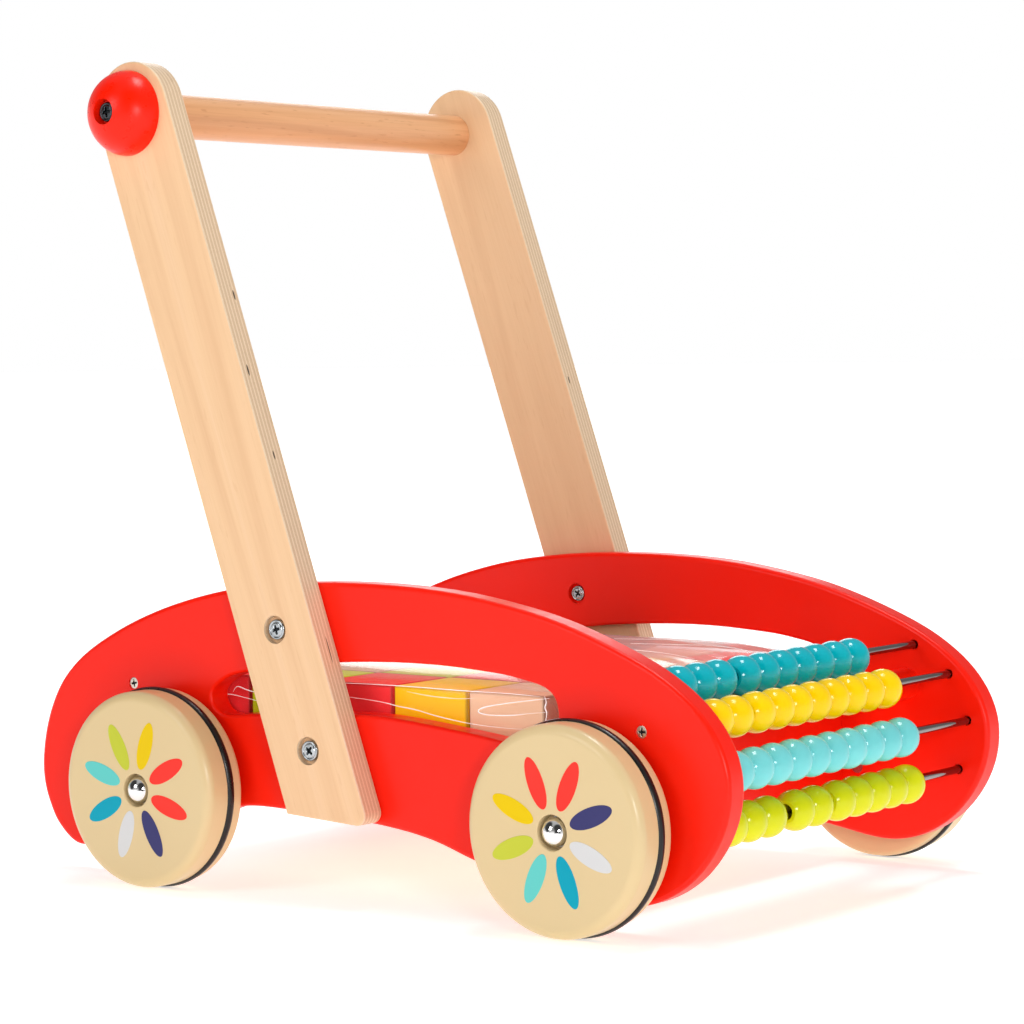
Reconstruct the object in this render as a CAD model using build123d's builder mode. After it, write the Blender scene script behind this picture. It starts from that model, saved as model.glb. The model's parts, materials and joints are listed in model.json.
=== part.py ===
from build123d import *
import os
from math import sin, cos, tan, asin, radians, sqrt

os.makedirs("parts", exist_ok=True)

# ---------------------------------------------------------------- driving dimensions (mm)
# Frame: X forward (away from the child), Y to the left, Z up, floor at Z = 0,
# origin midway between the ends of the side panels.
PANEL_IN = 126.0          # inner face of a side panel, from the middle plane
PANEL_T = 15.0
PANEL_OUT = PANEL_IN + PANEL_T
PANEL_ROUND = 2.5
SLOT_ROUND = 1.8

POST_T = 15.0
POST_OUT = PANEL_OUT + POST_T
POST_W = 53.4
POST_LEAN = 19.2          # degrees back from upright
POST_X0 = 7.0             # centre line meets the floor plane here
POST_TOP_Z = 437.2        # centre of the round top
POST_ROUND = 1.2

BAR_X, BAR_Z = -147.8, 435.2
BAR_R = 12.5
BAR_SEAT = 6.0            # how far the bar goes into each post
CAP_R = 23.9
CAP_H = 20.9
CAP_RECESS_R = 7.2
CAP_SEAT = 14.0            # wood left under the cap's screw head

BOLT_XZ = [(-44.7, 149.4), (-22.3, 84.3)]

AXLE_X = (-134.0, 154.5)  # rear, front
AXLE_Z = 56.6
AXLE_R = 4.0
AXLE_CLEAR = 0.05
WHEEL_R = 55.2
WHEEL_IN = 145.3
WHEEL_OUT = 174.1
TYRE_R = 3.2
TYRE_RING_R = AXLE_Z - TYRE_R
TYRE_Y = 155.9
HUB_R = 9.2
HUB_FLOOR = 167.0

BOARD_T = 11.0
REAR_BOARD_X = -171.2
FRONT_BOARD_X = 133.3
FLOOR_TOP = 69.1
FLOOR_T = 5.0
TONGUE = 4.0
STRETCH_X, STRETCH_Z, STRETCH_R = 187.3, 106.5, 9.0

ROD_R = 2.25
ROD_XZ = [(192.6, 129.2), (214.9, 113.5), (226.8, 87.6), (221.2, 59.5)]
ROD_SEAT = 8.0
BEAD_R = 11.0
BEAD_L = 18.4
BEAD_PITCH = 18.5
BEAD_BORE_R = 3.85        # loose on the rod, so the beads hang below its axis
BEAD_HANG = 1.55

CUBE = 49.6
CUBE_PITCH_X = 51.5
CUBE_PITCH_Y = 49.9
CUBE_X0 = -116.65         # centre of the rear row
CUBE_Z0 = FLOOR_TOP + 0.4
FILM_T = 0.3


# panel outline and slot, in the X-Z plane
def from_survey(points, shift, scale):
    return [((x - shift) * scale, z * scale) for x, z in points]


SHIFT, SCALE = 145.6, 0.92
OUTLINE = from_survey([
    (-78.0, 17.0), (-90.5, 18.6), (-98.5, 24.4), (-105.0, 31.4), (-109.3, 39.0),
    (-112.6, 46.6), (-114.8, 54.5), (-115.8, 65.0), (-114.7, 77.0), (-111.6, 91.0),
    (-106.2, 105.0), (-98.6, 118.0), (-88.0, 129.6), (-75.8, 139.0), (-61.0, 147.7),
    (-45.2, 155.6), (-27.0, 163.3), (-8.0, 170.0), (14.0, 176.3), (38.0, 181.8),
    (65.0, 186.1), (95.0, 189.0), (130.0, 190.6), (165.0, 190.7), (195.0, 189.5),
    (222.0, 187.2), (254.0, 182.4), (285.0, 176.0), (311.0, 168.3), (337.0, 158.7),
    (358.5, 149.0), (374.0, 139.6), (386.5, 129.6), (396.3, 118.4), (403.0, 106.5),
    (406.4, 95.0), (407.0, 84.5), (405.4, 73.0), (401.0, 60.5), (393.5, 48.0),
    (384.5, 37.6), (374.5, 29.6), (363.0, 23.2), (351.0, 19.0), (338.0, 17.0),
    (322.0, 17.8), (305.0, 20.6), (285.0, 23.9), (262.0, 27.3), (240.0, 31.2),
    (221.5, 36.4), (206.9, 41.0), (192.1, 44.4), (177.2, 46.7), (161.9, 48.4),
    (130.0, 50.4), (95.0, 51.8), (68.0, 52.4), (50.0, 50.6), (34.0, 44.6),
    (18.0, 35.6), (0.0, 27.0), (-22.0, 20.6), (-50.0, 17.4),
], SHIFT, SCALE)
SLOT = from_survey([
    (30.5, 117.6), (32.6, 111.6), (38.4, 107.4), (50.0, 107.0), (68.4, 108.8),
    (105.0, 111.4), (144.4, 113.0), (163.3, 113.0), (196.7, 110.6), (229.4, 107.3),
    (256.8, 103.6), (274.0, 101.6), (285.0, 104.2), (291.0, 112.4), (292.2, 122.0),
    (289.4, 131.6), (281.6, 137.0), (270.9, 139.6), (257.4, 141.9), (239.1, 143.6),
    (216.9, 145.0), (190.0, 145.6), (163.9, 145.0), (135.6, 143.4), (100.0, 139.8),
    (75.0, 136.4), (58.9, 133.7), (44.4, 130.0), (35.4, 124.8),
], SHIFT, SCALE)


def yz_cylinder(x, z, r, y0, y1):
    """A cylinder along Y between y0 and y1, for the right hand side (negative Y)."""
    h = abs(y1 - y0)
    return Location((x, -(abs(y0) + abs(y1)) / 2, z)) * Cylinder(r, h, rotation=(90, 0, 0), mode=Mode.PRIVATE)


def yz_cone(x, z, r_in, r_out, y_in, y_out):
    """A cone along Y: r_in at |y| = y_in, r_out at |y| = y_out, on the right hand side."""
    h = y_out - y_in
    return Location((x, -(y_in + y_out) / 2, z)) * Cone(r_in, r_out, h, rotation=(90, 0, 0), mode=Mode.PRIVATE)


def save(shape, name):
    export_step(shape, f"parts/{name}.step")


def both_sides(shape):
    """The right hand pieces and their mirror images, in one compound."""
    other = mirror(shape, about=Plane.XZ)
    return Compound(children=list(shape.solids()) + list(other.solids()))


# ---------------------------------------------------------------- screws shared by holes and hardware
# (x, z, how far in from the panel's outer face) on the right hand side
SCREWS = [
    (REAR_BOARD_X + BOARD_T / 2, 112.1, 42.0),
    (REAR_BOARD_X + BOARD_T / 2, 56.0, 42.0),
    (FRONT_BOARD_X + BOARD_T / 2, 92.0, 42.0),
    (FRONT_BOARD_X + BOARD_T / 2, 50.0, 42.0),
    (STRETCH_X, STRETCH_Z, 42.0),
]
SCREW_R, SCREW_HEAD_R, SCREW_HEAD_H, SCREW_SINK = 1.8, 3.5, 2.2, 0.5


def screw_body(x, z, depth, grow=0.0):
    top = PANEL_OUT - SCREW_SINK
    with BuildPart(mode=Mode.PRIVATE) as s:
        add(yz_cylinder(x, z, SCREW_R + grow, PANEL_OUT - depth - grow, top - SCREW_HEAD_H))
        add(yz_cone(x, z, SCREW_R + grow, SCREW_HEAD_R + grow, top - SCREW_HEAD_H, top))
        if grow > 0:
            add(yz_cylinder(x, z, SCREW_HEAD_R + grow, top, PANEL_OUT + 1.0))
    return s.part


def screw_holes(mode=Mode.SUBTRACT):
    for x, z, d in SCREWS:
        add(screw_body(x, z, d, grow=0.05), mode=mode)


# ---------------------------------------------------------------- side panels
with BuildPart() as right_panel:
    with BuildSketch(Plane.XZ.offset(PANEL_IN)):
        with BuildLine():
            Spline(*OUTLINE, periodic=True)
        make_face()
        with BuildLine():
            Spline(*SLOT, periodic=True)
        make_face(mode=Mode.SUBTRACT)
    extrude(amount=PANEL_T)
    outer_edges = [w.edges() for f in (right_panel.faces().sort_by(Axis.Y)[0], right_panel.faces().sort_by(Axis.Y)[-1]) for w in [f.outer_wire()]]
    fillet([e for es in outer_edges for e in es], PANEL_ROUND)
    slot_edges = right_panel.edges().filter_by(lambda e: e.length < 800 and e.length > 400 and abs(abs(e.center().Y) - PANEL_IN - PANEL_T / 2) > PANEL_T / 2 - 0.01)
    fillet(slot_edges, SLOT_ROUND)
    # groove for the tray floor's tongue
    with BuildPart(mode=Mode.PRIVATE) as groove:
        with Locations(((REAR_BOARD_X + BOARD_T + FRONT_BOARD_X) / 2, -(PANEL_IN + TONGUE / 2), FLOOR_TOP - 1.25)):
            Box(FRONT_BOARD_X - REAR_BOARD_X - BOARD_T + 0.4, TONGUE + 0.1, 2.7)
    add(groove.part, mode=Mode.SUBTRACT)
    # post bolts: sleeve nut from inside, bolt from outside
    for x, z in BOLT_XZ:
        add(yz_cylinder(x, z, 6.2, PANEL_IN - 1, PANEL_IN + 3.4), mode=Mode.SUBTRACT)
        add(yz_cylinder(x, z, 4.1, PANEL_IN + 3, PANEL_IN + 13.2), mode=Mode.SUBTRACT)
        add(yz_cylinder(x, z, 3.1, PANEL_IN + 13, PANEL_OUT + 1), mode=Mode.SUBTRACT)
    # rod seats with a small open mouth
    for x, z in ROD_XZ:
        add(yz_cylinder(x, z, ROD_R + 0.05, PANEL_IN - 1, PANEL_IN + ROD_SEAT + 0.2), mode=Mode.SUBTRACT)
        add(yz_cylinder(x, z, 2.9, PANEL_IN - 1, PANEL_IN + 2.2), mode=Mode.SUBTRACT)
    # axle pins
    for x in AXLE_X:
        add(yz_cylinder(x, AXLE_Z, AXLE_R + 0.02, PANEL_IN - 1, PANEL_OUT + 1), mode=Mode.SUBTRACT)
    screw_holes()
save(right_panel.part, "right_side_panel")
save(mirror(right_panel.part, about=Plane.XZ), "left_side_panel")

# ---------------------------------------------------------------- tray floor
with BuildPart() as floor:
    x0, x1 = REAR_BOARD_X + BOARD_T + 0.05, FRONT_BOARD_X - 0.05
    with Locations(((x0 + x1) / 2, 0, FLOOR_TOP - FLOOR_T + 1.25)):
        Box(x1 - x0 - 1.6, 2 * PANEL_IN - 1.6, 2.5)
    with Locations(((x0 + x1) / 2, 0, FLOOR_TOP - 1.25)):
        Box(x1 - x0, 2 * (PANEL_IN + TONGUE), 2.5)
save(floor.part, "tray_floor")

# ---------------------------------------------------------------- boards and stretcher
def board(x, z0, z1, name):
    with BuildPart() as b:
        with Locations((x + BOARD_T / 2, 0, (z0 + z1) / 2)):
            Box(BOARD_T, 2 * PANEL_IN - 0.02, z1 - z0)
        fillet(b.edges().filter_by(Axis.Y), 2.0)
        screw_holes()
        for sx, sz, d in SCREWS:
            add(mirror(screw_body(sx, sz, d, grow=0.05), about=Plane.XZ), mode=Mode.SUBTRACT)
    save(b.part, name)


board(REAR_BOARD_X, 42.0, 124.0, "rear_board")
board(FRONT_BOARD_X, 40.0, 101.0, "front_board")

with BuildPart() as stretch:
    with Locations((STRETCH_X, 0, STRETCH_Z)):
        Cylinder(STRETCH_R, 2 * PANEL_IN - 0.02, rotation=(90, 0, 0))
    for sx, sz, d in SCREWS[4:]:
        add(screw_body(sx, sz, d, grow=0.05), mode=Mode.SUBTRACT)
        add(mirror(screw_body(sx, sz, d, grow=0.05), about=Plane.XZ), mode=Mode.SUBTRACT)
save(stretch.part, "front_stretcher")

with BuildPart() as screws:
    for sx, sz, d in SCREWS:
        add(screw_body(sx, sz, d))
save(both_sides(screws.part), "panel_screws")

# ---------------------------------------------------------------- handle posts
lean = radians(POST_LEAN)
half = POST_W / 2
top_x = POST_X0 - tan(lean) * POST_TOP_Z
n_x, n_z = cos(lean), sin(lean)
edge_off = half / cos(lean)


def post_edge(side, z):
    return (POST_X0 + side * edge_off - tan(lean) * z, z)


with BuildPart() as right_post:
    with BuildSketch(Plane.XZ.offset(PANEL_OUT)) as ps:
        with BuildLine():
            a = post_edge(-1, 48.6)
            b = post_edge(1, 45.4)
            c = (top_x + n_x * half, POST_TOP_Z + n_z * half)
            d = (top_x - n_x * half, POST_TOP_Z - n_z * half)
            t = (top_x - sin(lean) * half, POST_TOP_Z + cos(lean) * half)
            Line(a, b)
            Line(b, c)
            ThreePointArc(c, t, d)
            Line(d, a)
        make_face()
        fillet(ps.vertices().sort_by(Axis.Z)[:2], 6.0)
    extrude(amount=POST_T)
    rims = [e for f in (right_post.faces().sort_by(Axis.Y)[0], right_post.faces().sort_by(Axis.Y)[-1]) for e in f.edges()]
    fillet(rims, POST_ROUND)
    add(yz_cylinder(BAR_X, BAR_Z, BAR_R + 0.05, PANEL_OUT - 1, PANEL_OUT + BAR_SEAT + 0.05), mode=Mode.SUBTRACT)
    add(yz_cylinder(BAR_X, BAR_Z, 2.6, PANEL_OUT + 1, POST_OUT + 1), mode=Mode.SUBTRACT)
    for x, z in BOLT_XZ:
        add(yz_cylinder(x, z, 7.75, POST_OUT - 4.2, POST_OUT + 1), mode=Mode.SUBTRACT)
        add(yz_cylinder(x, z, 3.1, PANEL_OUT - 1, POST_OUT), mode=Mode.SUBTRACT)
save(right_post.part, "right_handle_post")
save(mirror(right_post.part, about=Plane.XZ), "left_handle_post")

# ---------------------------------------------------------------- handle bar, caps, cap screws
with BuildPart() as bar:
    with Locations((BAR_X, 0, BAR_Z)):
        Cylinder(BAR_R, 2 * (PANEL_OUT + BAR_SEAT), rotation=(90, 0, 0))
    for s in (1, -1):
        with Locations((BAR_X, s * (PANEL_OUT + BAR_SEAT - 13), BAR_Z)):
            Cylinder(2.55, 26.2, rotation=(90, 0, 0), mode=Mode.SUBTRACT)
save(bar.part, "handle_bar")

with BuildPart() as cap:
    with BuildSketch(Plane.XY):
        with BuildLine():
            Line((0, 0), (CAP_R, 0))
            EllipticalCenterArc((0, 0), CAP_R, CAP_H, start_angle=0, arc_size=90)
            Line((0, CAP_H), (0, 0))
        make_face()
    revolve(axis=Axis.Y)
    with Locations((0, CAP_SEAT + 15, 0)):
        Cylinder(CAP_RECESS_R, 30, rotation=(90, 0, 0), mode=Mode.SUBTRACT)
    with Locations((0, 0, 0)):
        Cylinder(2.6, 40, rotation=(90, 0, 0), mode=Mode.SUBTRACT)
    rim = cap.edges().filter_by(GeomType.CIRCLE).sort_by(Axis.Y)[-1]
    fillet(rim, 0.6)
left_cap = Location((BAR_X, POST_OUT, BAR_Z)) * cap.part
save(left_cap, "left_handle_cap")
save(mirror(left_cap, about=Plane.XZ), "right_handle_cap")

with BuildPart() as cap_screw:
    y = POST_OUT + CAP_SEAT
    add(yz_cylinder(BAR_X, BAR_Z, 2.5, PANEL_OUT + BAR_SEAT - 25, y))
    add(yz_cylinder(BAR_X, BAR_Z, 5.5, y, y + 3.6))
    fillet(cap_screw.edges().filter_by(GeomType.CIRCLE).sort_by(Axis.Y)[0], 1.4)
save(both_sides(cap_screw.part), "cap_screws")

with BuildPart() as bolts:
    for x, z in BOLT_XZ:
        with BuildPart(mode=Mode.PRIVATE) as one:
            add(yz_cylinder(x, z, 3.0, PANEL_IN + 6.0, POST_OUT - 4.2))
            add(yz_cylinder(x, z, 5.6, POST_OUT - 4.2, POST_OUT - 0.7))
            fillet(one.edges().filter_by(GeomType.CIRCLE).sort_by(Axis.Y)[0], 1.6)
        add(one.part)
save(both_sides(bolts.part), "post_bolts")

with BuildPart() as nuts:
    for x, z in BOLT_XZ:
        add(yz_cylinder(x, z, 4.7, PANEL_IN + 1.0, PANEL_IN + 3.4))
        add(yz_cylinder(x, z, 4.0, PANEL_IN + 3.4, PANEL_IN + 13.0))
        add(yz_cylinder(x, z, 3.05, PANEL_IN + 5.0, PANEL_IN + 14.0), mode=Mode.SUBTRACT)
save(both_sides(nuts.part), "sleeve_nuts")

# ---------------------------------------------------------------- running gear
with BuildPart() as wheel:
    with BuildSketch(Plane.XY) as ws:
        with BuildLine():
            Polyline((AXLE_R + AXLE_CLEAR, WHEEL_IN), (WHEEL_R, WHEEL_IN), (WHEEL_R, WHEEL_OUT), (HUB_R, WHEEL_OUT),
                     (HUB_R, HUB_FLOOR), (AXLE_R + AXLE_CLEAR, HUB_FLOOR), close=True)
        make_face()
        corner = ws.vertices().filter_by(lambda v: abs(v.X - WHEEL_R) < 0.01)
        fillet(corner.sort_by(Axis.Y)[-1], 5.5)
        fillet(ws.vertices().filter_by(lambda v: abs(v.X - WHEEL_R) < 0.01 and abs(v.Y - WHEEL_IN) < 0.01), 3.5)
        fillet(ws.vertices().filter_by(lambda v: abs(v.X - HUB_R) < 0.01 and abs(v.Y - WHEEL_OUT) < 0.01), 0.8)
    revolve(axis=Axis.Y)
    with BuildSketch(Plane.XY):
        with Locations((TYRE_RING_R, TYRE_Y)):
            Circle(TYRE_R + 0.03)
    revolve(axis=Axis.Y, mode=Mode.SUBTRACT)

with BuildPart() as tyre:
    with BuildSketch(Plane.XY):
        with Locations((TYRE_RING_R, TYRE_Y)):
            Circle(TYRE_R)
    revolve(axis=Axis.Y)

with BuildPart() as pin:
    with Locations((0, (PANEL_IN + 0.5 + 171.5) / 2, 0)):
        Cylinder(AXLE_R, 171.5 - PANEL_IN - 0.5, rotation=(90, 0, 0))
with BuildPart() as spacer:
    with Locations((0, (PANEL_OUT + 0.05 + WHEEL_IN - 0.3) / 2, 0)):
        Cylinder(8.0, WHEEL_IN - 0.35 - PANEL_OUT, rotation=(90, 0, 0))
        Cylinder(AXLE_R + 0.02, 10, rotation=(90, 0, 0), mode=Mode.SUBTRACT)
with BuildPart() as washer:
    with Locations((0, HUB_FLOOR + 0.8, 0)):
        Cylinder(7.8, 1.0, rotation=(90, 0, 0))
        Cylinder(AXLE_R + 0.02, 4, rotation=(90, 0, 0), mode=Mode.SUBTRACT)
with BuildPart() as axle_cap:
    with BuildSketch(Plane.XY):
        with BuildLine():
            b0, b1, b2 = HUB_FLOOR + 1.4, HUB_FLOOR + 4.6, HUB_FLOOR + 10.0
            ball = (7.6**2 + (b2 - b1) ** 2) / (2 * (b2 - b1))
            flat, half = sqrt(ball**2 - 0.8**2), 0.5 * (asin(0.8 / ball) + asin(7.6 / ball))
            Line((0, b0), (7.6, b0))
            Line((7.6, b0), (7.6, b1))
            ThreePointArc((7.6, b1), (ball * sin(half), b2 - ball + ball * cos(half)), (0.8, b2 - ball + flat))
            Line((0.8, b2 - ball + flat), (0, b2 - ball + flat))
            Line((0, b2 - ball + flat), (0, b0))
        make_face()
    revolve(axis=Axis.Y)
    with Locations((0, (b0 - 1 + 171.6) / 2, 0)):
        Cylinder(AXLE_R + 0.02, 171.6 - b0 + 1, rotation=(90, 0, 0), mode=Mode.SUBTRACT)

for end, x in zip(("rear", "front"), AXLE_X):
    for what, shape in (("wheel", wheel.part), ("tyre", tyre.part)):
        left = Location((x, 0, AXLE_Z)) * shape
        save(left, f"{end}_left_{what}")
        save(mirror(left, about=Plane.XZ), f"{end}_right_{what}")

for name, shape in (("axle_pins", pin.part), ("wheel_spacers", spacer.part), ("axle_washers", washer.part), ("axle_caps", axle_cap.part)):
    solids = []
    for x in AXLE_X:
        left = Location((x, 0, AXLE_Z)) * shape
        solids += list(left.solids()) + list(mirror(left, about=Plane.XZ).solids())
    save(Compound(children=solids), name)

# ---------------------------------------------------------------- bead frame
for i, (x, z) in enumerate(ROD_XZ):
    with BuildPart() as rod:
        with Locations((x, 0, z)):
            Cylinder(ROD_R, 2 * (PANEL_IN + ROD_SEAT), rotation=(90, 0, 0))
    save(rod.part, f"bead_rod_{i + 1}")

with BuildPart() as bead:
    with BuildSketch(Plane.XY):
        with BuildLine():
            h = BEAD_L / 2
            flat = sqrt(BEAD_R ** 2 - h ** 2)
            ThreePointArc((flat, -h), (BEAD_R, 0), (flat, h))
            Polyline((flat, h), (BEAD_BORE_R + 0.5, h), (BEAD_BORE_R, h - 0.7), (BEAD_BORE_R, -h + 0.7), (BEAD_BORE_R + 0.5, -h), (flat, -h))
        make_face()
    revolve(axis=Axis.Y)

# group name, rod index, number of beads, Y of the group's far (left) end
GROUPS = [
    ("beads_teal_near", 0, 3, -69.6), ("beads_teal_far", 0, 7, 65.0),
    ("beads_yellow_near", 1, 2, -88.6), ("beads_yellow_far", 1, 8, 62.0),
    ("beads_aqua", 2, 10, 59.9),
    ("beads_lime_near", 3, 3, -67.5), ("beads_lime_mid", 3, 2, -21.4), ("beads_lime_far", 3, 5, 75.8),
]
for name, i, count, end in GROUPS:
    x, z = ROD_XZ[i]
    with BuildPart() as group:
        for k in range(count):
            add(Location((x, end - BEAD_L / 2 - k * BEAD_PITCH, z - BEAD_HANG)) * bead.part)
    save(group.part, name)

# ---------------------------------------------------------------- block pack
# colour of each cube: five rows from the rear, each from right to left
PATTERN = [
    ("red", "natural", "teal", "natural", "yellow"),
    ("lime", "natural", "natural", "red", "natural"),
    ("red", "lime", "natural", "natural", "teal"),
    ("yellow", "red", "natural", "yellow", "natural"),
    ("natural", "red", "natural", "natural", "red"),
]
for colour in ("red", "yellow", "lime", "teal", "natural"):
    with BuildPart() as cubes:
        for i, row in enumerate(PATTERN):
            for j, c in enumerate(row):
                if c == colour:
                    with Locations((CUBE_X0 + i * CUBE_PITCH_X, (j - 2) * CUBE_PITCH_Y, CUBE_Z0 + CUBE / 2)):
                        Box(CUBE, CUBE, CUBE)
        fillet(cubes.edges(), 1.2)
    save(cubes.part, f"blocks_{colour}")


def film_body(t):
    """The wrap's outer shape, drawn in by t on every side."""
    hy = 2 * CUBE_PITCH_Y + CUBE / 2 + 0.5 - t
    zb = FLOOR_TOP + 0.08 + t
    top = FLOOR_TOP + 0.4 + CUBE + 0.9 - t
    with BuildPart() as body:
        with BuildSketch(Plane.XZ.offset(-hy)):
            with BuildLine():
                p0, p1 = (-144.0 + t, zb), (117.0 - t, zb)
                p2, p3 = (129.0 - t, 84.0), (129.0 - t, 100.0)
                p4 = (117.0 - t, top)
                p5 = (-144.0 + t, top)
                p6, p7 = (-157.0 + t, 100.0), (-157.0 + t, 84.0)
                Polyline(p0, p1, p2, p3, p4)
                ThreePointArc(p4, (-20.0, top + 13.0), p5)
                Polyline(p5, p6, p7, p0)
            make_face()
        extrude(amount=2 * hy)
        with BuildSketch(Plane.YZ.offset(-170)):
            with BuildLine():
                q0, q1, q2, q3 = (-hy, zb), (hy, zb), (hy, top), (-hy, top)
                Polyline(q3, q0, q1, q2)
                ThreePointArc(q2, (0, top + 12.0), q3)
            make_face()
        extrude(amount=340, mode=Mode.INTERSECT)
    return body.part


with BuildPart() as film:
    add(film_body(0.0))
    add(film_body(FILM_T), mode=Mode.SUBTRACT)
save(film.part, "film_wrap")
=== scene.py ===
import bpy, bmesh, json, math
from mathutils import Matrix, Vector, noise


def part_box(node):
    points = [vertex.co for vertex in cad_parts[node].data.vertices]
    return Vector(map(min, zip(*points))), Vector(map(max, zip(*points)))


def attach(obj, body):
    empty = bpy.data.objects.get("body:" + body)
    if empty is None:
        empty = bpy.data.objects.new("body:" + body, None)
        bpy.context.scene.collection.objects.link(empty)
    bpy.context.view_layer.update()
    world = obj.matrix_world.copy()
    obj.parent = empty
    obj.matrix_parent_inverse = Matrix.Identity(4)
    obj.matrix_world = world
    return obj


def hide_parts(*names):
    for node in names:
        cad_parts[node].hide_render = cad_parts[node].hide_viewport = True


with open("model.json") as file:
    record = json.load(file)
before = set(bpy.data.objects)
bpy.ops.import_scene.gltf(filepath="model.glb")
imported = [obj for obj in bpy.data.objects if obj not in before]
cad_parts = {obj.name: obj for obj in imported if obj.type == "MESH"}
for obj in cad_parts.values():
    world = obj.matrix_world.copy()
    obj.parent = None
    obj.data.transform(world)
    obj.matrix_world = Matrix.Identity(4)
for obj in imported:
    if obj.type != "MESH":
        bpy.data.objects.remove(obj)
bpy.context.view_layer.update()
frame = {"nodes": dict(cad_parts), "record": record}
nodes = frame["nodes"]
CUBE_NODES = [n for n in nodes if n.startswith("blocks_")]
scene = bpy.context.scene

# ------------------------------------------------------------------ camera
yaw, pitch, roll = math.radians(36.93), math.radians(3.11), math.radians(-0.67)
back = Vector((math.sin(yaw) * math.cos(pitch), -math.cos(yaw) * math.cos(pitch), math.sin(pitch)))
fwd = -back
right = fwd.cross(Vector((0, 0, 1))).normalized()
up = right.cross(fwd)
r2 = right * math.cos(roll) + up * math.sin(roll)
u2 = -right * math.sin(roll) + up * math.cos(roll)
cam_data = bpy.data.cameras.new("camera")
cam = bpy.data.objects.new("camera", cam_data)
scene.collection.objects.link(cam)
m = Matrix((r2, u2, back)).transposed().to_4x4()
m.translation = Vector((1.12142, -1.49051, 0.30833))
cam.matrix_world = m
cam_data.sensor_width = 36.0
cam_data.lens = 114.16
cam_data.clip_start, cam_data.clip_end = 0.05, 100
scene.camera = cam
scene.view_settings.view_transform = "Standard"
scene.view_settings.look = "None"

# ------------------------------------------------------------------ node helpers
def srgb(h):
    h = h.lstrip("#")
    v = [int(h[i:i + 2], 16) / 255 for i in (0, 2, 4)]
    return tuple(((c + 0.055) / 1.055) ** 2.4 if c > 0.04045 else c / 12.92 for c in v) + (1.0,)


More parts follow.
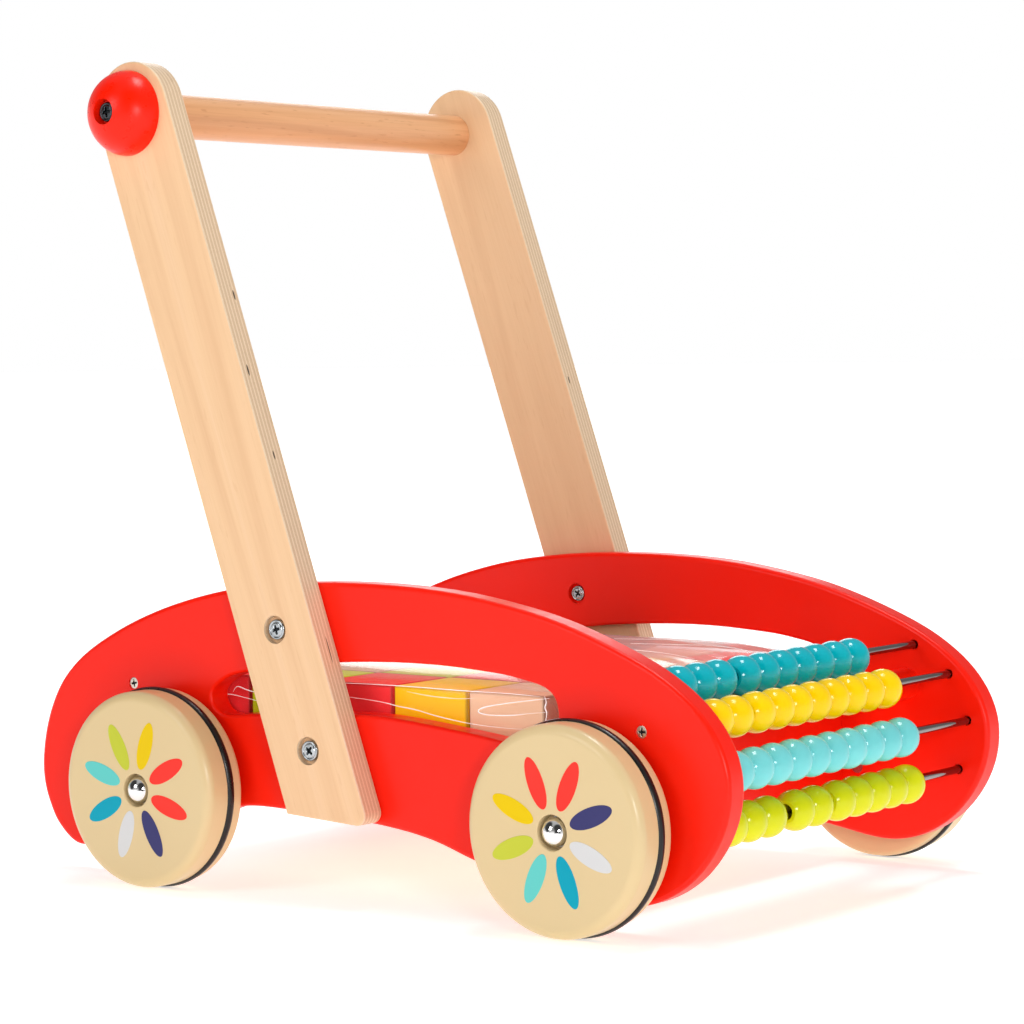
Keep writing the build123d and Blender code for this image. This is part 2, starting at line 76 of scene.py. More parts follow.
class Mat:
    """A small builder for one procedural material. Positions are the row frame's, in metres."""

    def __init__(self, name, **sockets):
        self.m = bpy.data.materials.new(name)
        self.m.use_nodes = True
        self.t = self.m.node_tree
        self.t.nodes.clear()
        self.out = self.t.nodes.new("ShaderNodeOutputMaterial")
        self.b = self.t.nodes.new("ShaderNodeBsdfPrincipled")
        self.t.links.new(self.b.outputs[0], self.out.inputs[0])
        for k, v in sockets.items():
            self.b.inputs[k.replace("_", " ")].default_value = v
        self.tc = self.t.nodes.new("ShaderNodeTexCoord")
        self.pos = self.tc.outputs["Object"]
        self.nrm = self.tc.outputs["Normal"]

    def node(self, kind, **props):
        n = self.t.nodes.new("ShaderNode" + kind)
        for k, v in props.items():
            setattr(n, k, v)
        return n

    def put(self, n, key, v):
        if isinstance(v, bpy.types.NodeSocket):
            self.t.links.new(v, n.inputs[key])
        elif v is not None:
            n.inputs[key].default_value = v
        return n

    def turn(self, vec, rot=(0, 0, 0), loc=(0, 0, 0)):
        n = self.node("Mapping")
        n.inputs["Rotation"].default_value = rot
        n.inputs["Location"].default_value = loc
        self.put(n, "Vector", vec)
        return n.outputs[0]

    def mul(self, vec, s):
        n = self.node("VectorMath", operation="MULTIPLY")
        self.put(n, 0, vec)
        n.inputs[1].default_value = s
        return n.outputs[0]

    def vadd(self, a, b):
        n = self.node("VectorMath", operation="ADD")
        self.put(n, 0, a); self.put(n, 1, b)
        return n.outputs[0]

    def xyz(self, vec):
        n = self.node("SeparateXYZ")
        self.put(n, 0, vec)
        return n.outputs

    def f(self, op, a, b=None, c=None, clamp=False):
        n = self.node("Math", operation=op, use_clamp=clamp)
        self.put(n, 0, a); self.put(n, 1, b)
        if c is not None:
            self.put(n, 2, c)
        return n.outputs[0]

    def noise(self, vec, scale=1.0, detail=2.0, rough=0.5, dist=0.0):
        n = self.node("TexNoise")
        self.put(n, "Vector", vec)
        n.inputs["Scale"].default_value = scale
        n.inputs["Detail"].default_value = detail
        n.inputs["Roughness"].default_value = rough
        n.inputs["Distortion"].default_value = dist
        return n.outputs["Fac"]

    def voronoi(self, vec, scale=1.0, feature="F1", out="Distance"):
        n = self.node("TexVoronoi", feature=feature)
        self.put(n, "Vector", vec)
        n.inputs["Scale"].default_value = scale
        return n.outputs[out]

    def ramp(self, fac, stops, mode="LINEAR"):
        n = self.node("ValToRGB")
        n.color_ramp.interpolation = mode
        e = n.color_ramp.elements
        while len(e) < len(stops):
            e.new(0.5)
        for el, (p, c) in zip(e, stops):
            el.position = p
            el.color = c if len(c) == 4 else tuple(c) + (1.0,)
        self.put(n, 0, fac)
        return n.outputs[0]

    def rng(self, fac, a, b, lo, hi):
        n = self.node("MapRange")
        self.put(n, 0, fac)
        for i, v in enumerate((a, b, lo, hi)):
            n.inputs[i + 1].default_value = v
        return n.outputs[0]

    def cube_edge(self):
        """1 on the rounded edges of the cubes, 0 on their flat faces: the mask for painted shade in the gaps
        between the cubes.
        """
        lo = Vector([min(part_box(n)[0][i] for n in CUBE_NODES) for i in range(3)])
        hi = Vector([max(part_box(n)[1][i] for n in CUBE_NODES) for i in range(3)])
        near = []
        for i, c in enumerate(self.xyz(self.pos)):
            gap = (hi[i] - lo[i] - 0.250) / 4 if i < 2 else 0.0
            pitch = 0.050 + gap
            u = self.f("DIVIDE", self.f("SUBTRACT", c, lo[i] - gap / 2), pitch)
            d = self.f("ABSOLUTE", self.f("SUBTRACT", self.f("FRACT", self.f("ADD", u, 0.5)), 0.5))
            near.append(self.rng(self.f("MULTIPLY", d, pitch), 0.0007, 0.0021, 1.0, 0.0))
        a = self.f("MULTIPLY", near[0], near[1])
        b = self.f("MULTIPLY", near[1], near[2])
        c = self.f("MULTIPLY", near[0], near[2])
        return self.f("MAXIMUM", a, self.f("MAXIMUM", b, c))

    def mix(self, fac, a, b, mode="MIX"):
        n = self.node("Mix", data_type="RGBA", blend_type=mode)
        self.put(n, 0, fac)
        self.put(n, 6, a); self.put(n, 7, b)
        return n.outputs[2]

    def bump(self, height, strength, distance, normal=None):
        n = self.node("Bump")
        n.inputs["Strength"].default_value = strength
        n.inputs["Distance"].default_value = distance
        self.put(n, "Height", height)
        if normal is not None:
            self.put(n, "Normal", normal)
        return n.outputs[0]

    def set(self, **sockets):
        for k, v in sockets.items():
            self.put(self.b, k.replace("_", " "), v)
        return self


def paint(name, base, shade, edge, rough=(0.22, 0.34), spec=0.5, coat=0.0, peel=0.10, grain_axis=None, edge_wear_and_highlight=0.5, scale=1.0, cube_gap_shade=None):
    """Gloss paint over wood: soft colour drift, fine spray texture, lighter paint on the sharp edges, partly thin
    worn paint and partly a painted highlight.
    """
    p = Mat(name)
    p.set(Specular_IOR_Level=spec, Coat_Weight=coat, Coat_Roughness=0.12)
    drift = p.noise(p.pos, 9 * scale, 2, 0.5)
    col = p.mix(p.rng(drift, 0.3, 0.7, 0.0, 1.0), srgb(base), srgb(shade))
    speck = p.noise(p.pos, 1400, 2, 0.6)
    col = p.mix(p.rng(speck, 0.66, 0.82, 0.0, 0.04), col, srgb(edge))
    # lighter edge colour on sharp edges: partly worn paint, partly a painted highlight on the rounded edges
    geo = p.node("NewGeometry")
    worn_and_highlight = p.f("MULTIPLY", p.rng(geo.outputs["Pointiness"], 0.515, 0.56, 0.0, edge_wear_and_highlight), p.rng(p.noise(p.pos, 120, 3, 0.6), 0.35, 0.65, 0.35, 1.0))
    col = p.mix(worn_and_highlight, col, srgb(edge))
    # painted shade: a darker colour along the cube edges, in the gaps between the cubes
    if cube_gap_shade:
        col = p.mix(p.f("MULTIPLY", p.cube_edge(), 0.62), col, srgb(cube_gap_shade))
    p.set(Base_Color=col)
    p.set(Roughness=p.rng(p.noise(p.pos, 160, 2, 0.5), 0.3, 0.7, rough[0], rough[1]))
    h = p.noise(p.pos, 620, 2, 0.5)
    nb = p.bump(h, peel, 0.0002)
    if grain_axis:
        s = [260.0, 260.0, 260.0]
        s["xyz".index(grain_axis)] = 9.0
        nb = p.bump(p.noise(p.mul(p.pos, tuple(s)), 1, 3, 0.6), 0.06, 0.0002, nb)
    p.set(Normal=nb)
    return p.m


def wood(name, light, mid, dark, turn=(0, 0, 0), axis="z", flecks=0.35, rough=(0.38, 0.52), plies=None, voids=(), blocks=False):
    """Lacquered wood with its grain along one axis of the turned frame. plies: (first y, thickness) of plywood layers seen on the edges."""
    p = Mat(name)
    p.set(Specular_IOR_Level=0.4, Coat_Weight=0.12, Coat_Roughness=0.22)
    v = p.turn(p.pos, turn) if any(turn) else p.pos
    def along(a, b):
        s = [a, a, a]
        s["xyz".index(axis)] = b
        return p.mul(v, tuple(s))
    warp = p.noise(along(9.0, 2.2), 1, 2, 0.5)
    bands = p.noise(p.vadd(along(46.0, 1.7), p.mul(p.node("CombineXYZ").outputs[0], (1, 1, 1))), 1, 4, 0.55, 0.9)
    fibre = p.noise(along(900.0, 16.0), 1, 3, 0.65)
    col = p.ramp(bands, [(0.30, srgb(light)), (0.52, srgb(mid)), (0.72, srgb(dark))])
    col = p.mix(p.rng(warp, 0.35, 0.7, 0.0, 0.35), col, srgb(mid))
    col = p.mix(p.rng(fibre, 0.42, 0.75, 0.0, 0.28), col, srgb(dark))
    fl = p.noise(along(620.0, 90.0), 1, 1, 0.4)
    fleck = p.rng(fl, 0.66, 0.74, 0.0, flecks)
    col = p.mix(fleck, col, srgb(dark))
    if blocks:
        cell = p.noise(p.mul(p.pos, (12.0, 12.0, 12.0)), 1, 0, 0.5)
        col = p.mix(p.rng(cell, 0.4, 0.6, 0.0, 0.25), col, srgb(light))
        # painted shade along the cube edges, in the gaps between the cubes
        col = p.mix(p.f("MULTIPLY", p.cube_edge(), 0.62), col, srgb("#7a4a2c"))
    height = fibre
    if plies:
        y0, t, tones = plies
        y = p.f("ABSOLUTE", p.xyz(p.pos)[1])
        y = p.f("ADD", y, p.rng(p.noise(along(60.0, 8.0), 1, 2, 0.5), 0.0, 1.0, -0.00016, 0.00016))
        k = p.f("DIVIDE", p.f("SUBTRACT", y, y0), t)
        half = p.f("FRACT", p.f("MULTIPLY", k, 0.5))
        layer = p.ramp(half, [(0.0, srgb(tones[0])), (0.46, srgb(tones[0])), (0.50, srgb(tones[2])), (0.54, srgb(tones[1])), (0.94, srgb(tones[1])), (0.99, srgb(tones[2]))])
        endgrain = p.noise(p.mul(p.pos, (700.0, 700.0, 700.0)), 1, 3, 0.7)
        layer = p.mix(p.rng(endgrain, 0.45, 0.8, 0.0, 0.22), layer, srgb(tones[2]))
        streak = p.noise(along(520.0, 7.0), 1, 3, 0.6)
        layer = p.mix(p.rng(streak, 0.62, 0.70, 0.0, 0.45), layer, srgb(tones[2]))
        for (x, yy, z, sx, sy, sz) in voids:
            d = p.node("VectorMath", operation="SUBTRACT")
            p.put(d, 0, p.pos); d.inputs[1].default_value = (x, yy, z)
            rot = p.turn(d.outputs[0], turn)
            sc = p.mul(rot, (1 / sx, 1 / sy, 1 / sz))
            ln = p.node("VectorMath", operation="LENGTH")
            p.put(ln, 0, sc)
            layer = p.mix(p.rng(ln.outputs["Value"], 1.05, 0.85, 0.0, 0.92), layer, srgb("#2c1a10"))
        edge = p.rng(p.f("ABSOLUTE", p.xyz(p.nrm)[1]), 0.80, 0.62, 0.0, 1.0)
        col = p.mix(edge, col, layer)
    p.set(Base_Color=col)
    p.set(Roughness=p.rng(fibre, 0.3, 0.7, rough[0], rough[1]))
    nb = p.bump(fibre, 0.12, 0.0004)
    nb = p.bump(fl, 0.06, 0.0004, nb)
    p.set(Normal=nb)
    return p.m


def metal(name, base, dark, rough=(0.12, 0.22), brushed=None, bump=0.03):
    p = Mat(name)
    p.set(Metallic=1.0)
    n1 = p.noise(p.mul(p.pos, brushed or (300.0, 300.0, 300.0)), 1, 3, 0.6)
    p.set(Base_Color=p.mix(p.rng(n1, 0.35, 0.75, 0.0, 0.5), srgb(base), srgb(dark)))
    p.set(Roughness=p.rng(p.noise(p.pos, 240, 3, 0.6), 0.3, 0.7, rough[0], rough[1]))
    p.set(Normal=p.bump(n1, bump, 0.0003))
    return p.m


LEAN = math.radians(19.2)
VOIDS = [(-0.0805, -0.1447, 0.3325, 0.0040, 0.0007, 0.0030),
         (-0.0661, -0.1503, 0.2911, 0.0040, 0.0007, 0.0034),
         (-0.0499, -0.1484, 0.2446, 0.0040, 0.0006, 0.0026),
         (-0.0140, -0.1475, 0.1390, 0.0040, 0.0004, 0.0080),
         (-0.0624, 0.1449, 0.2804, 0.0040, 0.0006, 0.0026)]
mats = {
    "red_paint": paint("red_paint", "#fb1c02", "#f71801", "#ff6a4c", rough=(0.30, 0.38), grain_axis="x", coat=0.0, spec=0.22, edge_wear_and_highlight=0.0),
    "cream_paint": paint("cream_paint", "#dac293", "#d7be8e", "#ead9b4", rough=(0.28, 0.34), coat=0.1, spec=0.35, peel=0.03, edge_wear_and_highlight=0.0),
    "birch_ply": wood("birch_ply", "#edc69e", "#eac195", "#deb084", turn=(0, LEAN, 0), axis="z",
                      plies=(0.141, 0.00136, ("#e6cdae", "#d6b896", "#b08a66")), voids=VOIDS),
    "beech": wood("beech", "#ecb688", "#e6ab7a", "#c98b5a", axis="y", flecks=0.6),
    "red_cap_paint": paint("red_cap_paint", "#fb1f03", "#f71b02", "#ff6a4c", rough=(0.26, 0.34), coat=0.0, spec=0.2, edge_wear_and_highlight=0.0),
    "screw_steel": metal("screw_steel", "#b9bec1", "#777d82", (0.16, 0.30)),
    "rod_chrome": metal("rod_chrome", "#8f8886", "#5f5957", (0.05, 0.10), (900.0, 30.0, 900.0)),
    "hub_chrome": metal("hub_chrome", "#ecebea", "#cfcfcf", (0.03, 0.07), bump=0.006),
    "tyre_rubber": paint("tyre_rubber", "#110f0f", "#171414", "#3a3533", rough=(0.26, 0.36), peel=0.15, edge_wear_and_highlight=0.1, spec=0.4),
    "spacer_plastic": paint("spacer_plastic", "#232323", "#2b2a2a", "#555250", rough=(0.4, 0.55), peel=0.2),
    "teal_paint": paint("teal_paint", "#00b4c2", "#00adbb", "#4cc6d0", rough=(0.10, 0.15), coat=0.0, spec=0.34, edge_wear_and_highlight=0.0, scale=3),
    "yellow_paint": paint("yellow_paint", "#ffd600", "#ffd000", "#ffe27a", rough=(0.12, 0.18), coat=0.0, spec=0.26, edge_wear_and_highlight=0.0, scale=3),
    "aqua_paint": paint("aqua_paint", "#78d5d6", "#72cfd1", "#c8f3f1", rough=(0.12, 0.17), coat=0.0, spec=0.34, edge_wear_and_highlight=0.0, scale=3),
    "lime_paint": paint("lime_paint", "#dcdd12", "#d5d70c", "#e6f07a", rough=(0.12, 0.18), coat=0.0, spec=0.28, edge_wear_and_highlight=0.0, scale=3),
    "block_red": paint("block_red", "#ff3a40", "#f8343a", "#f98a8a", rough=(0.35, 0.5), grain_axis="x", spec=0.2, edge_wear_and_highlight=0.0, cube_gap_shade="#7a1c1c"),
    "block_yellow": paint("block_yellow", "#ffd200", "#ffcb00", "#ffe680", rough=(0.35, 0.5), grain_axis="x", spec=0.15, edge_wear_and_highlight=0.0, cube_gap_shade="#8a5f18"),
    "block_lime": paint("block_lime", "#d6e41c", "#cedc14", "#dcea80", rough=(0.35, 0.5), grain_axis="x", spec=0.2, edge_wear_and_highlight=0.0, cube_gap_shade="#6c7418"),
    "block_teal": paint("block_teal", "#1b9aa4", "#1790a0", "#62bcc4", rough=(0.35, 0.5), grain_axis="x", spec=0.3, edge_wear_and_highlight=0.0, cube_gap_shade="#0e4a50"),
    "block_natural": wood("block_natural", "#f9d3b2", "#f4c5a0", "#dca880", axis="x", flecks=0.4, blocks=True),
}
mats["clear_film"] = None


def film_material(name="clear_film", veil=0.012, ior=1.22, highlight_glow=0.0):
    """Clear film: what lies behind it, a mirror layer that grows at a low angle, and a thin white veil. Given a
    glow strength, the veil turns plain white and glows: a painted highlight.
    """
    p = Mat(name)
    # the veil is the film's own haze; its faint pink tint is a painted reflection of the red panels
    p.set(Base_Color=srgb("#f0dcd4"), Specular_IOR_Level=0.5, Roughness=0.2)
    # painted highlight: the veil glows though the film is no lamp
    if highlight_glow:
        p.set(Base_Color=srgb("#ffffff"), Emission_Color=(1.0, 0.97, 0.95, 1), Emission_Strength=highlight_glow)
    crease = p.noise(p.mul(p.pos, (10.0, 46.0, 60.0)), 1, 3, 0.55, 0.8)
    fine = p.noise(p.pos, 150, 2, 0.5)
    nb = p.bump(crease, 0.18, 0.0014)
    nb = p.bump(fine, 0.04, 0.0004, nb)
    p.set(Normal=nb)
    fr = p.node("Fresnel")
    fr.inputs["IOR"].default_value = ior
    p.put(fr, "Normal", nb)
    gl = p.node("BsdfAnisotropic")
    gl.inputs["Color"].default_value = (0.90, 0.90, 0.91, 1)
    p.put(gl, "Roughness", p.rng(p.noise(p.pos, 60, 2, 0.5), 0.3, 0.7, 0.05, 0.12))
    p.put(gl, "Normal", nb)
    tr = p.node("BsdfTransparent")
    tr.inputs[0].default_value = (0.99, 0.985, 0.99, 1)
    m1 = p.node("MixShader")
    p.put(m1, 0, fr.outputs[0])
    p.t.links.new(tr.outputs[0], m1.inputs[1])
    p.t.links.new(gl.outputs[0], m1.inputs[2])
    stretch = p.noise(p.mul(p.pos, (7.0, 90.0, 110.0)), 1, 2, 0.5, 0.5)
    lw = p.node("LayerWeight")
    lw.inputs["Blend"].default_value = 0.5
    low = p.rng(lw.outputs["Facing"], 0.45, 0.92, 0.0, 0.60)
    fac = p.f("ADD", p.rng(stretch, 0.56, 0.76, veil, veil + 0.16), low, clamp=True)
    m2 = p.node("MixShader")
    p.put(m2, 0, fac)
    p.t.links.new(m1.outputs[0], m2.inputs[1])
    p.t.links.new(p.b.outputs[0], m2.inputs[2])
    # film hardly dims what it wraps: shadow rays go through it
    lp = p.node("LightPath")
    clear = p.node("BsdfTransparent")
    m3 = p.node("MixShader")
    p.put(m3, 0, lp.outputs["Is Shadow Ray"])
    p.t.links.new(m2.outputs[0], m3.inputs[1])
    p.t.links.new(clear.outputs[0], m3.inputs[2])
    p.t.links.new(m3.outputs[0], p.out.inputs[0])
    return p.m


# fold strips: whiter doubled film that also glows as a painted highlight
fold_highlight_film = film_material("folded_film_glow", veil=0.55, ior=1.5, highlight_glow=0.28)
mats["clear_film"] = film_material()

slot_of = {s["node"]: s["material_slot"] for s in frame["record"]["subparts"]}
for name, ob in nodes.items():
    mat = mats[slot_of[name]]
    if not ob.data.materials:
        ob.data.materials.append(mat)
    for i in range(len(ob.data.materials)):
        ob.data.materials[i] = mat

ply_flat = wood("tray_ply", "#efcfa4", "#e6bf90", "#cf9d68", axis="x")
for i in range(len(nodes["tray_floor"].data.materials)):
    nodes["tray_floor"].data.materials[i] = ply_flat


# ------------------------------------------------------------------ helpers for new pieces
def new_piece(name, verts, faces, body, materials, smooth=True, face_mats=None):
    me = bpy.data.meshes.new(name)
    me.from_pydata([tuple(v) for v in verts], [], faces)
    me.validate()
    for mt in materials:
        me.materials.append(mt)
    if face_mats:
        for poly, k in zip(me.polygons, face_mats):
            poly.material_index = k
    for poly in me.polygons:
        poly.use_smooth = smooth
    ob = bpy.data.objects.new(name, me)
    scene.collection.objects.link(ob)
    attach(ob, body)
    return ob


# ------------------------------------------------------------------ painted petals
PETAL = [("petal_red", "#f73d33", "#f0342b"), ("petal_navy", "#403f72", "#393868"), ("petal_white", "#d6d6d6", "#cfcfd0"),
         ("petal_teal", "#00a2bb", "#009ab2"), ("petal_cyan", "#68cdc6", "#60c6c0"), ("petal_lime", "#c6cc44", "#bec43a"),
         ("petal_yellow", "#e9c700", "#e2bf00")]
petal_mats = [paint(n, a, b, a, rough=(0.32, 0.38), coat=0.0, spec=0.12, peel=0.03, edge_wear_and_highlight=0.0) for n, a, b in PETAL]
ORDER = [0, 0, 1, 2, 3, 4, 5, 6]        # red, red, navy, white, teal, cyan, lime, yellow
START = {"front": 111.64, "rear": 117.74 - 90.0}
# On the rear wheels the first red is two steps after the lime petal.
for end in ("front", "rear"):
    for side, sgn in (("right", -1.0), ("left", 1.0)):
        wheel = f"{end}_{side}_wheel"
        lo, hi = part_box(wheel)
        cx, cz = (lo.x + hi.x) / 2, (lo.z + hi.z) / 2
        face_y = hi.y if sgn > 0 else -lo.y
        verts, faces, fm = [], [], []
        for k, colour in enumerate(ORDER):
            a = math.radians(START[end] - 45.0 * k)
            ca, sa = math.cos(a), math.sin(a)
            base = len(verts)
            n = 56
            for lift, inset in ((0.00002, 0.0), (0.00016, 0.00012)):
                for j in range(n):
                    t = 2 * math.pi * j / n
                    rr = 0.02645 + (0.01395 - inset) * math.cos(t)
                    w = (0.0051 - inset) * math.sin(t) * (1 - 0.03 * math.cos(t))
                    x, z = rr * ca - w * sa, rr * sa + w * ca
                    verts.append((cx + x * (-sgn), sgn * (face_y + lift), cz + z))
            side_faces = [(base + j, base + (j + 1) % n, base + n + (j + 1) % n, base + n + j) for j in range(n)]
            faces += side_faces + [tuple(base + n + j for j in range(n)), tuple(base + n - 1 - j for j in range(n))]
            fm += [colour] * (n + 2)
        ob = new_piece(wheel + "_petals", verts, faces, wheel + "_body", petal_mats, smooth=False, face_mats=fm)
        bm = bmesh.new(); bm.from_mesh(ob.data)
        bmesh.ops.recalc_face_normals(bm, faces=bm.faces)
        bm.to_mesh(ob.data); bm.free()


# ------------------------------------------------------------------ screws with driver recesses
def screw_mesh(verts, faces, cx, cz, y_seat, sgn, r, high, crown, arm, half, depth, groove=0.0, turn=0.0, shank=(0.0, 0.0), quick=False, deep=None):
    """One head with a cross recess. The axis is Y, sgn is the side that it faces, y_seat the seat's |Y|."""
    nr, na = (22, 56) if quick else (34, 96)
    base = len(verts)
    ct, st = math.cos(turn), math.sin(turn)
    def smooth(a, b, v):
        t = min(1.0, max(0.0, (v - a) / (b - a)))
        return t * t * (3 - 2 * t)
    rim = 0.10 * r
    rows = [(shank[0] * 0.999, -shank[1]), (shank[0], -shank[1]), (shank[0], 0.0), (r * 0.96, 0.0), (r, 0.04 * r), (r, high - rim)] if shank[0] > 0 else [(r * 0.96, 0.0), (r, 0.04 * r), (r, high - rim)]
    rows += [(r - rim * (1 - math.cos(a)), high - rim + rim * math.sin(a)) for a in (0.4, 0.8, 1.2)]
    ring0 = len(rows)
    rows += [(r * 0.91 * (1 - i / nr), None) for i in range(nr)]
    for rr, h in rows:
        for j in range(na):
            a = 2 * math.pi * j / na
            x, z = rr * math.cos(a), rr * math.sin(a)
            if h is None:
                u, w = x * ct + z * st, -x * st + z * ct
                hh = high + crown * (1 - (rr / r) ** 2)
                edge = 0.05 * r
                d = 0.0
                for p, q in ((abs(u), abs(w)), (abs(w), abs(u))):
                    wide = half * (1 - 0.35 * min(1.0, p / arm))
                    d = max(d, (1 - smooth(wide - edge, wide + edge, q)) * (1 - smooth(arm * 0.80, arm, p)))
                d = max(d, 1 - smooth(half * 1.3, half * 2.0, rr))
                hh -= depth * d
                if groove:
                    hh -= groove * math.exp(-((rr - 0.74 * r) / (0.06 * r)) ** 2)
                y = hh
                if deep is not None and d > 0.45:
                    deep.add(len(verts))
            else:
                y = h
            verts.append((cx + x, sgn * (y_seat + y), cz + z))
    n = len(rows)
    tip = len(verts)
    verts.append((cx, sgn * (y_seat + high + crown - depth), cz))
    if deep is not None:
        deep.add(tip)
    for i in range(n - 1):
        for j in range(na):
            a, b = base + i * na + j, base + i * na + (j + 1) % na
            faces.append((a, b, b + na, a + na))
    last = base + (n - 1) * na
    for j in range(na):
        faces.append((last + j, last + (j + 1) % na, tip))
    faces.append(tuple(base + na - 1 - j for j in range(na)))


def clusters(name):
    """Centres and sizes of the separate solids of a CAD node, from its loose parts."""
    me = nodes[name].data
    parent = list(range(len(me.vertices)))
    def find(i):
        while parent[i] != i:
            parent[i] = parent[parent[i]]
            i = parent[i]
        return i
    key = {}
    for v in me.vertices:
        k = tuple(round(c * 1e6) for c in v.co)
        if k in key:
            parent[find(v.index)] = find(key[k])
        else:
            key[k] = v.index
    for e in me.edges:
        a, b = find(e.vertices[0]), find(e.vertices[1])
        if a != b:
            parent[a] = b
    groups = {}
    for v in me.vertices:
        groups.setdefault(find(v.index), []).append(v.co)
    out = []
    for pts in groups.values():
        lo = Vector([min(p[i] for p in pts) for i in range(3)])
        hi = Vector([max(p[i] for p in pts) for i in range(3)])
        out.append((lo, hi))
    return sorted(out, key=lambda b: (round(b[0].y, 4), round(b[0].x, 4), round(b[0].z, 4)))


def screw_set(node, high, crown, arm, half, depth, groove, shank_r, turns, head=None):
    verts, faces, deep = [], [], set()
    for k, (lo, hi) in enumerate(clusters(node)):
        c = (lo + hi) / 2
        r = (hi.x - lo.x) / 2
        sgn = 1.0 if c.y > 0 else -1.0
        outer = max(abs(lo.y), abs(hi.y))
        inner = min(abs(lo.y), abs(hi.y))
        if node == "sleeve_nuts":          # these face the middle of the cart
            sg, seat, length = -sgn, -(inner + high), outer - inner - high
        else:
            sg, seat, length = sgn, outer - high, outer - high - inner
        screw_mesh(verts, faces, c.x, c.z, seat - crown, sg, r * 0.998, high, crown, arm * r, half * r, depth,
                   groove, turns[k % len(turns)], (shank_r, length * 0.98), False, deep)
    # faces deep in the cross recesses take a darker steel: painted shade in the recesses
    ob = new_piece(node + "_detail", verts, faces, "cart", [head or mats["screw_steel"], recess_shade_steel],
                   face_mats=[1 if all(i in deep for i in f) else 0 for f in faces])
    me = ob.data
    bm = bmesh.new(); bm.from_mesh(me)
    bmesh.ops.recalc_face_normals(bm, faces=bm.faces)
    bm.to_mesh(me); bm.free()
    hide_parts(node)
    return ob


# darker steel for the deep cross recesses: painted shade
recess_shade_steel = metal("socket_painted_shade", "#34373a", "#17191b", (0.35, 0.5))
dark_steel = metal("dark_steel", "#4d5256", "#23272a", (0.16, 0.30))
light_steel = metal("light_steel", "#dcd6ca", "#a8a195", (0.22, 0.34))
screw_set("post_bolts", 0.0030, 0.0004, 0.50, 0.13, 0.0016, 0.0005, 0.0030, (0.3, 0.9, 0.5, 1.2))
screw_set("cap_screws", 0.0030, 0.0005, 0.56, 0.13, 0.0018, 0.0004, 0.0025, (0.15, 0.7), dark_steel)
screw_set("sleeve_nuts", 0.0022, 0.0002, 0.56, 0.12, 0.0012, 0.0003, 0.0038, (0.6, 0.2, 1.0, 0.4))
screw_set("panel_screws", 0.0016, 0.0002, 0.66, 0.15, 0.0012, 0.0, 0.0012, (0.8, 0.2, 0.5, 1.1, 0.0), light_steel)

# ------------------------------------------------------------------ film wrap
def ridged(v):
    return 1.0 - abs(noise.noise(v)) * 2.0


def film_top(x, y, x0, x1, y1, bx0, bx1):
    """How far the film stands above the cubes: a low pillow with long soft folds."""
    u = (x - x0) / (x1 - x0)
    w = 1 - min(1.0, abs(y) / y1) ** 7
    near_end = math.exp(-max(0.0, min(x - bx0, bx1 - x)) / 0.035)
    h = 0.0122 * (1 - abs(2 * u - 1) ** 4.0) * w
    h += 0.0026 * (0.5 + noise.noise(Vector((x * 7 + 3, y * 6, 0.3)))) * (0.3 + 0.7 * w)
    h += 0.0020 * max(0.0, ridged(Vector((x * 5 + y * 3, y * 16 + x * 6, 4.1))) - 0.35) ** 2 * (0.3 + 0.7 * w)
    h += 0.0014 * near_end * max(0.0, ridged(Vector((x * 7, y * 40, 2.0))) - 0.3)
    h = 0.0119 * math.tanh(max(0.0, h) / 0.0119)
    return h


